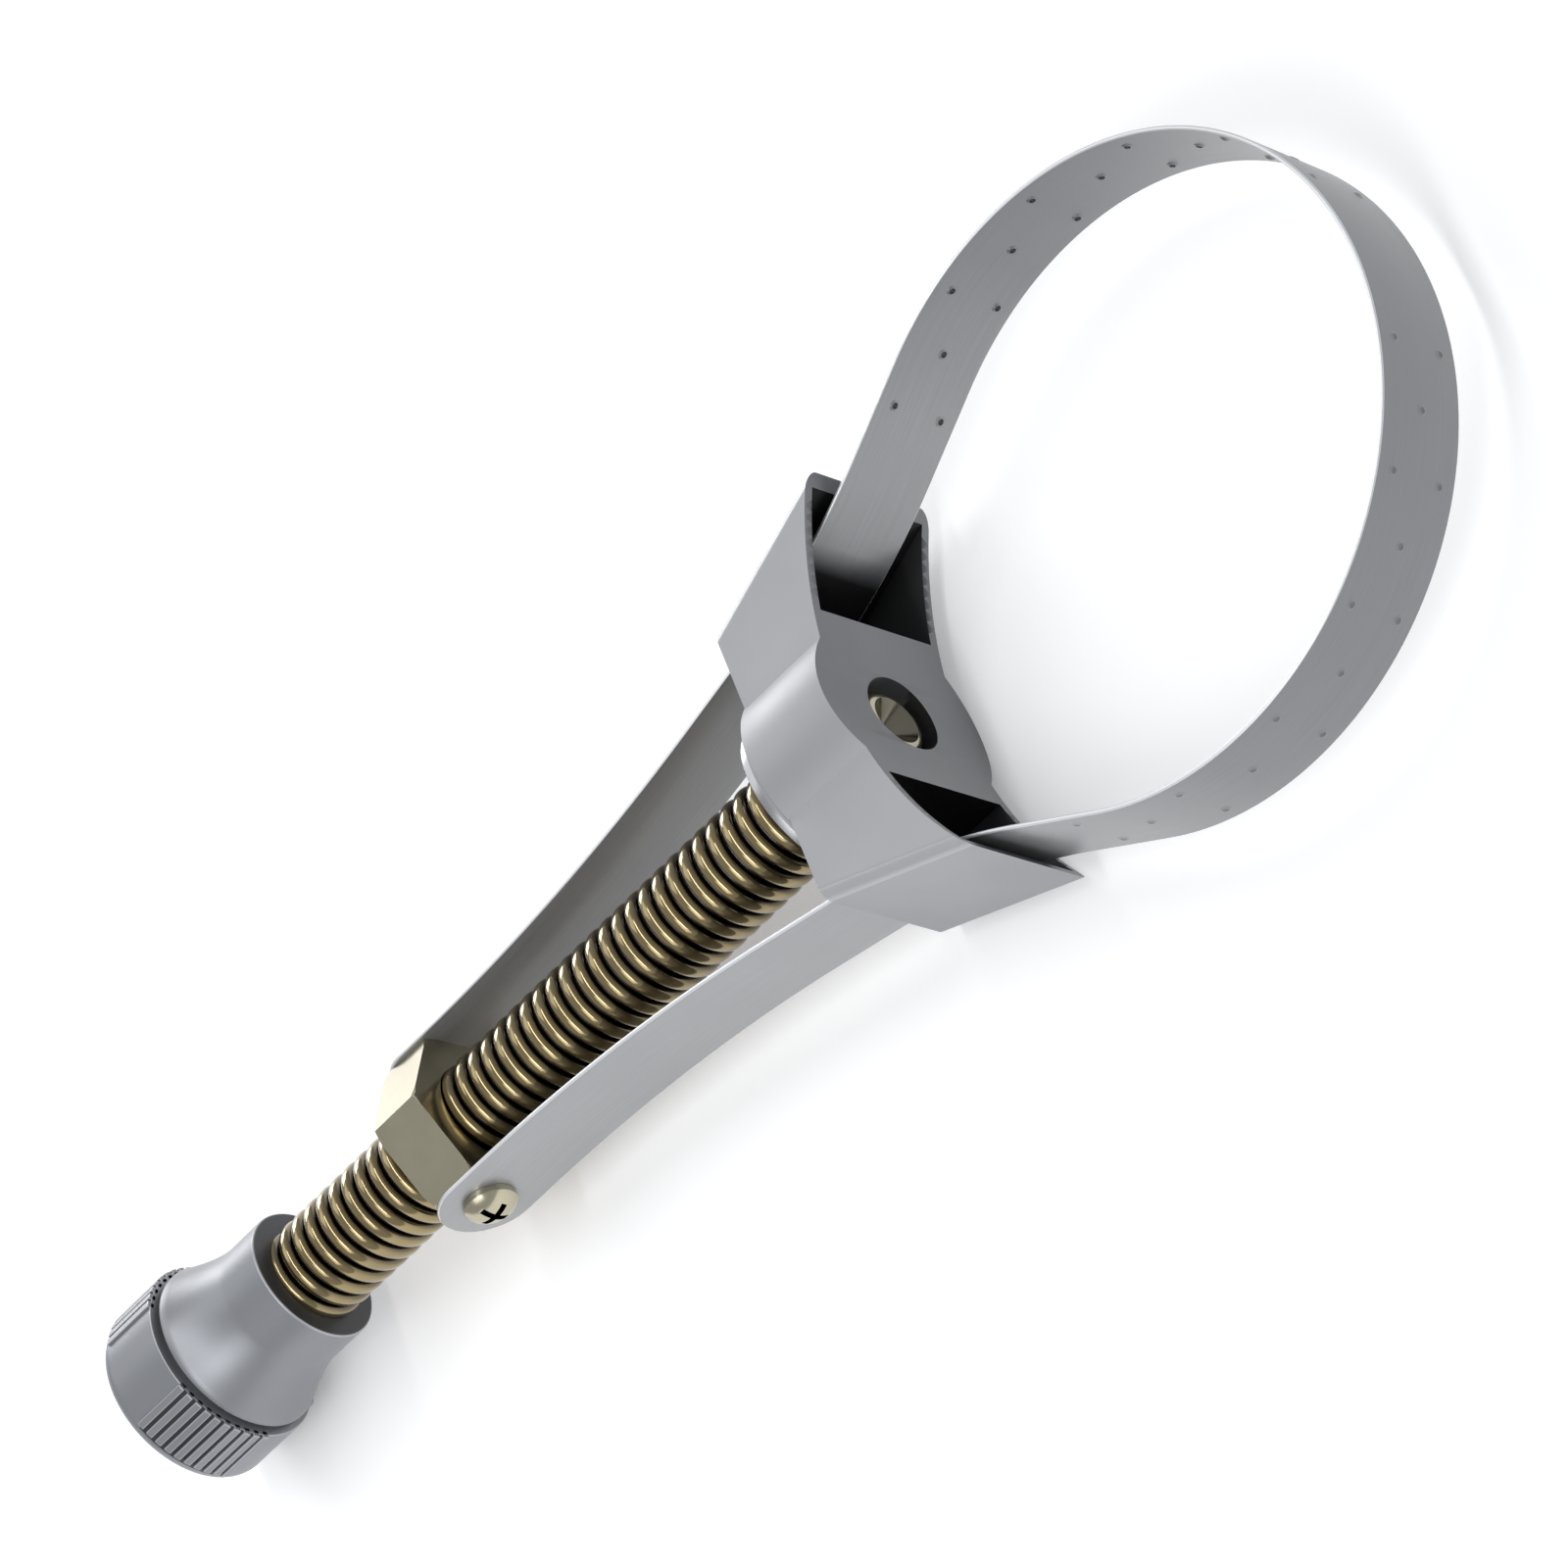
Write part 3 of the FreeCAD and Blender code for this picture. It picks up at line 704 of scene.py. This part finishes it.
def pip_mesh(height, pit_shade_share):
    """One crater of a given height on the XY plane, as a mesh to copy."""
    pip = bmesh.new()
    rows = [(0, -PIP_SINK), (PIP_OUTER, -PIP_SINK), (PIP_OUTER, 0), (PIP_RIM * 1.2, height * 0.8),
            (PIP_RIM, height), (PIP_RIM * 0.8, height * 0.8), (PIP_PIT, 0.02 * MM), (0, 0.01 * MM)]
    verts = [pip.verts.new((r, 0, z)) for r, z in rows]
    edges = [pip.edges.new(pair) for pair in zip(verts, verts[1:])]
    bmesh.ops.spin(pip, geom=verts + edges, cent=(0, 0, 0), axis=(0, 0, 1), angle=2 * math.pi,
                   steps=14, use_merge=True)
    bmesh.ops.remove_doubles(pip, verts=pip.verts[:], dist=MERGE)
    bmesh.ops.recalc_face_normals(pip, faces=pip.faces[:])
    # The pit's faces get a share of painted shade.
    pit_shade = pip.faces.layers.float.new("pit_shade")
    for face in pip.faces:
        if face.calc_center_median().xy.length < PIP_RIM * 0.9:
            face[pit_shade] = pit_shade_share
    mesh = bpy.data.meshes.new("pip")
    pip.to_mesh(mesh)
    pip.free()
    return mesh


# Shares of painted shade in the pits, inside and outside the loop.
INSIDE_PIT_SHADE = 0.9
OUTSIDE_PIT_SHADE = 0.35
inside_pip = pip_mesh(PIP_HEIGHT, INSIDE_PIT_SHADE)
outside_pip = pip_mesh(PIP_HEIGHT / 2, OUTSIDE_PIT_SHADE)


def add_pip(bm, mesh, place, direction):
    """A copy of the crater on the face of the band that looks along the direction."""
    before = len(bm.verts)
    bm.from_mesh(mesh)
    turn = direction.to_track_quat("Z", "Y").to_matrix().to_4x4()
    bmesh.ops.transform(bm, matrix=Matrix.Translation(place) @ turn, verts=bm.verts[before:])


for distance, height in pip_places() + [(0, 0)]:
    for side in ((1, -1) if distance else (1,)):
        place, outward = band_frame(distance, side)
        place = place + Vector((0, 0, height))
        add_pip(bm, inside_pip, place - outward * band_thick / 2, -outward)
        if distance:
            add_pip(bm, outside_pip, place + outward * band_thick / 2, outward)
loop = make_piece("band_loop", bm, strip_steel)

# %% [markdown]
# The three pieces of the band are baked where they were built, and the CAD band is hidden;
# nothing here bends them. On the real tool the legs bend between the nut and the head, the loop
# bends between the head and the nut the other way, and the travel changes the loop's width.

# %% Bake the band's pieces
for leg, side in ((left_leg, 1), (right_leg, -1)):
    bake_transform(leg)
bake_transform(loop)
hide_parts("steel_band")

# %% [markdown]
# ## The lead screw
# A thread is one bump that climbs as it goes round. An outline one pitch long is spun once about
# the axis while it climbs by one pitch, which makes a single turn. Copies of that turn meet edge
# to edge, so merging them gives one continuous skin, which two cuts trim to length.

# %% Helical thread
THREAD_PITCH = 3.0 * MM
THREAD_ROOT_WIDTH = 0.5 * MM
THREAD_FULLNESS = 2.4
THREAD_POINTS = 10
STEPS_PER_TURN = 60
SHOULDER_GAP = 0.1 * MM
THREAD_IN_KNOB = 4 * MM
thread_front = washer_low.x - SHOULDER_GAP
thread_back = barrel_high.x - THREAD_IN_KNOB


def thread_height(share):
    """Height of the rounded crest over the root, with share from 0 to 1 across the crest."""
    off_middle = abs(2 * share - 1)
    return thread_depth * (1 - off_middle ** THREAD_FULLNESS) ** (1 / THREAD_FULLNESS)


def thread_outline():
    """One pitch of the thread's section, as (x, radius) points."""
    crest_width = THREAD_PITCH - THREAD_ROOT_WIDTH
    shares = [(1 - math.cos(math.pi * i / THREAD_POINTS)) / 2 for i in range(THREAD_POINTS + 1)]
    crest = [(THREAD_ROOT_WIDTH + crest_width * s, root_radius + thread_height(s)) for s in shares]
    return [(0, root_radius)] + crest


def helical_thread():
    bm = bmesh.new()
    turns = math.ceil((thread_front - thread_back) / THREAD_PITCH) + 2
    start_x = thread_back - 1.5 * THREAD_PITCH
    chain = outline_edges(bm, [(x + start_x, r) for x, r in thread_outline()])
    climb = (THREAD_PITCH / STEPS_PER_TURN, 0, 0)
    bmesh.ops.spin(bm, geom=chain, cent=(0, 0, 0), axis=(1, 0, 0), dvec=climb,
                   angle=2 * math.pi, steps=STEPS_PER_TURN)
    one_turn = bm.verts[:] + bm.edges[:] + bm.faces[:]
    for turn in range(1, turns):
        made = bmesh.ops.duplicate(bm, geom=one_turn)
        moved = [v for v in made["geom"] if isinstance(v, bmesh.types.BMVert)]
        bmesh.ops.translate(bm, vec=(THREAD_PITCH * turn, 0, 0), verts=moved)
    bmesh.ops.remove_doubles(bm, verts=bm.verts[:], dist=MERGE)
    for x, outward in ((thread_back, -1), (thread_front, 1)):
        everything = bm.verts[:] + bm.edges[:] + bm.faces[:]
        bmesh.ops.bisect_plane(bm, geom=everything, plane_co=(x, 0, 0), plane_no=(outward, 0, 0),
                               clear_outer=True, dist=MERGE / 4)
    bmesh.ops.holes_fill(bm, edges=bm.edges[:], sides=0)
    return bm


thread = make_piece("lead_screw_thread", helical_thread(), thread_zinc)
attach(thread, "screw")
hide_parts("lead_screw")

# %% [markdown]
# The screw's front end is hollow. It passes through the head and the small washer, and is rolled
# outwards over the washer so that the screw can turn but not come out.

# %% Rolled front end and tail
JOURNAL_RADIUS = 4.6 * MM
ROLLED_RADIUS = 5.5 * MM
LIP_RADIUS = 3.95 * MM
BORE_RADIUS = 1.3 * MM
BORE_DEPTH = 9 * MM
MOUTH_DEPTH = 3.6 * MM
TAIL_RADIUS = 6 * MM
MOUTH_SHADE = 0.6


def rolled_end():
    bm = bmesh.new()
    top_x = screw_high.x
    washer_x = front_washer_high.x
    rise = top_x - washer_x
    rolled = [(washer_x + rise * math.sin(a), LIP_RADIUS + (ROLLED_RADIUS - LIP_RADIUS) * math.cos(a))
              for a in [math.radians(15 * i) for i in range(7)]]
    spin_outline(bm, [
        (washer_x - BORE_DEPTH, 0), (washer_x - BORE_DEPTH, BORE_RADIUS), (top_x - MOUTH_DEPTH, BORE_RADIUS),
        *reversed(rolled), (washer_x, JOURNAL_RADIUS), (thread_front, JOURNAL_RADIUS), (thread_front, 0)])

    # Painted shade: full in the bore, and less in the mouth of the rolled end.
    def deep(face):
        place = face.calc_center_median()
        if place.yz.length < BORE_RADIUS + MERGE:
            return 1.0
        in_mouth = place.yz.length < LIP_RADIUS - NEAR and place.x < screw_high.x - NEAR
        return MOUTH_SHADE if in_mouth else 0

    mark_faces(bm, "painted_shade", deep)
    return bm


def screw_tail():
    bm = bmesh.new()
    spin_outline(bm, [(screw_low.x, 0), (screw_low.x, TAIL_RADIUS),
                      (thread_back, TAIL_RADIUS), (thread_back, 0)])
    return bm


for name, bm in (("lead_screw_rolled_end", rolled_end()), ("lead_screw_tail", screw_tail())):
    part = make_piece(name, bm, nut_zinc)
    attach(part, "screw")

# %% [markdown]
# ## The nut and the band screws
# Both come from the CAD solids, which have the right flats, chamfers and cross recess. The copy
# gets rounded edges, because plated hardware never shows a perfectly sharp corner.

# %% Nut and screws
NUT_EDGE = 0.22 * MM
SCREW_EDGE = 0.12 * MM
CROSS_REACH = 2.5 * MM
CROSS_DEPTH = 1.4 * MM
top_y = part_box("band_screw_left")[1].y


def cross_recess_shade(face):
    """Painted shade, full on the walls and the floor of a band screw's cross recess."""
    place = face.calc_center_median()
    from_axis = math.hypot(place.x - nut_middle_x, place.z)
    sunk = top_y - abs(place.y)
    wall = abs(face.normal.y) < 0.3 and 0 < sunk < CROSS_DEPTH + NEAR and from_axis < CROSS_REACH
    floor = abs(sunk - CROSS_DEPTH) < NEAR and abs(face.normal.y) > 0.9 and from_axis < CROSS_REACH
    return 1.0 if wall or floor else 0


HARDWARE = {"travelling_nut": NUT_EDGE, "band_screw_left": SCREW_EDGE, "band_screw_right": SCREW_EDGE}
for node, width in HARDWARE.items():
    is_nut = node == "travelling_nut"
    bm = merged_copy(node, flatten=is_nut)
    if not is_nut:
        mark_faces(bm, "painted_shade", cross_recess_shade)
    round_edges(bm, sharp_edges(bm), width, segments=2, wear_and_highlight_share=0.5)
    part = weigh_normals(make_piece(node + "_plated", bm, nut_zinc, recalculate=False))
    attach(part, "nut")
    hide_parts(node)

# %% [markdown]
# ## The washers
# Two plain turned rings. The large one takes the screw's push behind the head, and the small
# one sits in the head's recess under the rolled end.

# %% Washers
WASHER_EDGE = 0.2 * MM


def washer(node, body):
    low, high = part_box(node)
    bm = bmesh.new()
    hole = JOURNAL_RADIUS + 0.05 * MM
    spin_outline(bm, [(low.x, hole), (low.x, high.z), (high.x, high.z), (high.x, hole), (low.x, hole)])
    round_edges(bm, sharp_edges(bm), WASHER_EDGE, segments=2)
    ring = weigh_normals(make_piece(node + "_turned", bm, washer_steel))
    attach(ring, body)
    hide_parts(node)


washer("rear_thrust_washer", "frame")
washer("front_retaining_washer", "screw")

# %% [markdown]
# ## The knob
# The barrel is turned with a trumpet flare, and the cap is a ribbed cup pressed on its neck with
# a narrow dark groove between the two. Their outlines are spun, then their corners are rounded.

# %% Knob barrel
BARREL_RADIUS = 11 * MM
BARREL_STRAIGHT = 7.8 * MM
FLARE_LENGTH = 10.5 * MM
FLARE_EDGE = 0.9 * MM
FLARE_SAG = 0.34
NECK_RADIUS = 12 * MM
BARREL_EDGE = 0.35 * MM
FRONT_SHADE = 0.8
FRONT_FACING = 0.9
FLARE_STEPS = 14
FINE_STEPS = 120


def barrel_outline():
    front = barrel_high.x
    flare_radius = barrel_high.z
    flare_start = front - BARREL_STRAIGHT
    rise = flare_radius - BARREL_RADIUS
    bend = math.log(FLARE_SAG) / math.log(0.5)
    flare = [(flare_start - FLARE_LENGTH * s, BARREL_RADIUS + rise * s ** bend)
             for s in [i / FLARE_STEPS for i in range(FLARE_STEPS + 1)]]
    edge_x = flare_start - FLARE_LENGTH - FLARE_EDGE
    neck = [(edge_x, NECK_RADIUS), (barrel_low.x, NECK_RADIUS), (barrel_low.x, TAIL_RADIUS)]
    return [(front, TAIL_RADIUS), (front, BARREL_RADIUS), *flare, (edge_x, flare_radius), *neck,
            (front, TAIL_RADIUS)]


def front_face_shade(face):
    """Painted shade darkens the barrel's front face."""
    in_front = face.calc_center_median().x > barrel_high.x - NEAR
    return FRONT_SHADE if in_front and face.normal.x > FRONT_FACING else 0


bm = bmesh.new()
spin_outline(bm, barrel_outline(), FINE_STEPS)
round_edges(bm, sharp_edges(bm), BARREL_EDGE, segments=3, wear_and_highlight_share=0.6)
mark_faces(bm, "painted_shade", front_face_shade)
barrel = weigh_normals(make_piece("knob_barrel_turned", bm, knob_grey))
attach(barrel, "screw")
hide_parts("knob_barrel")

# %% [markdown]
# The ribs stand in three groups of ten with smooth panels between them. Each is a small block
# with rounded edges, copied round the axis by a loop.

# %% Knob cap
CAP_RADIUS = 14.9 * MM
CAP_DOME = 0.6 * MM
CAP_SHOULDER = 2.7 * MM
CAP_EDGE = 0.16 * MM
RIB_GROUPS = 3
RIBS_PER_GROUP = 10
RIB_PITCH = math.radians(6.8)
RIB_FIRST = math.radians(34.5)
RIB_WIDTH = 1.2 * MM
RIB_ROOT = 0.8 * MM
RIB_HEIGHT = 0.45 * MM
RIB_SHADE = 0.85


def cap_outline():
    shoulder_x = cap_low.x + CAP_DOME + CAP_SHOULDER
    shoulder = quarter((shoulder_x, CAP_RADIUS - CAP_SHOULDER), CAP_SHOULDER, 90, 180, 8)
    floor_x = barrel_low.x - 0.02 * MM
    return [(cap_high.x, NECK_RADIUS), (cap_high.x, CAP_RADIUS), *shoulder, (cap_low.x, 0),
            (floor_x, 0), (floor_x, NECK_RADIUS), (cap_high.x, NECK_RADIUS)]


def add_rib(bm, angle):
    """One rib, rounded, lying along the cap and turned to its place about +X."""
    back = cap_low.x + CAP_DOME + CAP_SHOULDER
    length = cap_high.x - back
    height = RIB_HEIGHT + RIB_ROOT
    made = bmesh.ops.create_cube(bm, size=1)
    bmesh.ops.scale(bm, vec=(length, RIB_WIDTH, height), verts=made["verts"])
    middle = Vector((back + length / 2, 0, CAP_RADIUS - RIB_ROOT + height / 2))
    place = Matrix.Rotation(angle, 4, "X") @ Matrix.Translation(middle)
    bmesh.ops.transform(bm, matrix=place, verts=made["verts"])


def between_ribs(face):
    """Painted shade on the cap's skin between the ribs of a group."""
    place = face.calc_center_median()
    if abs(place.yz.length - CAP_RADIUS) > NEAR or abs(face.normal.x) > 0.3:
        return 0
    turn = (math.atan2(-place.y, place.z) - RIB_FIRST) % (2 * math.pi / RIB_GROUPS)
    return RIB_SHADE if turn < RIB_PITCH * (RIBS_PER_GROUP - 1) else 0


bm = bmesh.new()
spin_outline(bm, cap_outline(), 2 * FINE_STEPS)
mark_faces(bm, "painted_shade", between_ribs)
for group in range(RIB_GROUPS):
    for number in range(RIBS_PER_GROUP):
        add_rib(bm, RIB_FIRST + group * 2 * math.pi / RIB_GROUPS + number * RIB_PITCH)
# The rounded rib edges brighten, partly as wear and partly as a painted highlight.
round_edges(bm, sharp_edges(bm), CAP_EDGE, segments=2, wear_and_highlight_share=0.8)
cap = weigh_normals(make_piece("knob_grip_cap_ribbed", bm, knob_grey))
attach(cap, "screw")
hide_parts("knob_grip_cap")
frame["nodes"]["knob_cross_pin"].data.materials.clear()
frame["nodes"]["knob_cross_pin"].data.materials.append(washer_steel)

# %% [markdown]
# ## The stage
# The floor is a pale sheet six metres across, so that its edge stays far from the tool. A
# little light of its own keeps the tool's shadow soft and shallow.

# %% Floor
bm = bmesh.new()
bmesh.ops.create_grid(bm, x_segments=1, y_segments=1, size=3)
bmesh.ops.translate(bm, vec=(0, 0, cad_box[0].z), verts=bm.verts[:])
floor_finish, floor_shader = new_finish("pale_floor", 0.0, 0.7)
dust = noise(floor_finish, 8.0)
floor_colour = blend_colours(floor_finish, dust, (0.93, 0.93, 0.935), (0.97, 0.97, 0.97))
connect(floor_finish, floor_colour, floor_shader, "Base Color")
floor_shader.inputs["Emission Color"].default_value = (1, 1, 1, 1)
floor_shader.inputs["Emission Strength"].default_value = 0.18
floor = make_piece("floor", bm, floor_finish, recalculate=False)

# %% [markdown]
# Broad soft lights stand far off, like windows with blinds. A low one and a high one behind
# light the round edges, a long narrow one overhead draws the bright line along the thread, and a
# fill in front opens up the inside of the band.

# %% Lights
middle = (cad_box[0] + cad_box[1]) / 2
reach = (cad_box[1] - cad_box[0]).length
LIGHT_DISTANCE = 3.0


def soft_light(name, azimuth, elevation, width, height, glow):
    """A rectangle of light that looks at the tool. Azimuth 0 stands on the -Y side, 90 on the +X side."""
    a, e = math.radians(azimuth), math.radians(elevation)
    back = Vector((math.sin(a) * math.cos(e), -math.cos(a) * math.cos(e), math.sin(e)))
    data = bpy.data.lights.new(name, "AREA")
    data.shape = "RECTANGLE"
    data.size = width * reach
    data.size_y = height * reach
    data.energy = glow * math.pi * data.size * data.size_y
    lamp = bpy.data.objects.new(name, data)
    lamp.location = middle + back * LIGHT_DISTANCE * reach
    lamp.rotation_mode = "QUATERNION"
    lamp.rotation_quaternion = (-back).to_track_quat("-Z", "Y")
    bpy.context.scene.collection.objects.link(lamp)


soft_light("low_window", 210, 9, 1.3, 1.3, 5.0)
soft_light("high_window", 222, 46, 1.8, 1.8, 0.9)
soft_light("long_overhead", 0, 82, 0.3, 5.6, 9.0)
soft_light("front_fill", 345, 46, 1.8, 1.8, 1.6)

world = bpy.data.worlds.new("studio")
bpy.context.scene.world = world
world.use_nodes = True
world.node_tree.nodes["Background"].inputs["Color"].default_value = (0.95, 0.97, 1.0, 1)
world.node_tree.nodes["Background"].inputs["Strength"].default_value = 0.48
bpy.context.scene.view_settings.view_transform = "Standard"

# %% [markdown]
# The camera looks down on the tool as on a catalogue page, and is rolled so that the screw runs
# from one corner of the page to the other. The long lens keeps the perspective gentle.

# %% Camera
AZIMUTH = math.radians(40.3)
ELEVATION = math.radians(42.75)
ROLL = math.radians(73.6)
LENS = 146.8
DISTANCE = 890.7 * MM
AIM_AHEAD = -5.45 * MM
AIM_ASIDE = 5.6 * MM

aim = Vector((head_low.x + AIM_AHEAD, AIM_ASIDE, 0))
back = Vector((math.sin(AZIMUTH) * math.cos(ELEVATION), -math.cos(AZIMUTH) * math.cos(ELEVATION),
               math.sin(ELEVATION)))
camera_data = bpy.data.cameras.new("camera")
camera_data.lens = LENS
camera_data.sensor_width = 36
camera_data.clip_start = 0.01
camera = bpy.data.objects.new("camera", camera_data)
level = (-back).to_track_quat("-Z", "Y").to_matrix().to_4x4()
camera.matrix_world = Matrix.Translation(aim + back * DISTANCE) @ level @ Matrix.Rotation(-ROLL, 4, "Z")
bpy.context.scene.collection.objects.link(camera)
bpy.context.scene.camera = camera
print("camera at", [round(c, 4) for c in camera.location])
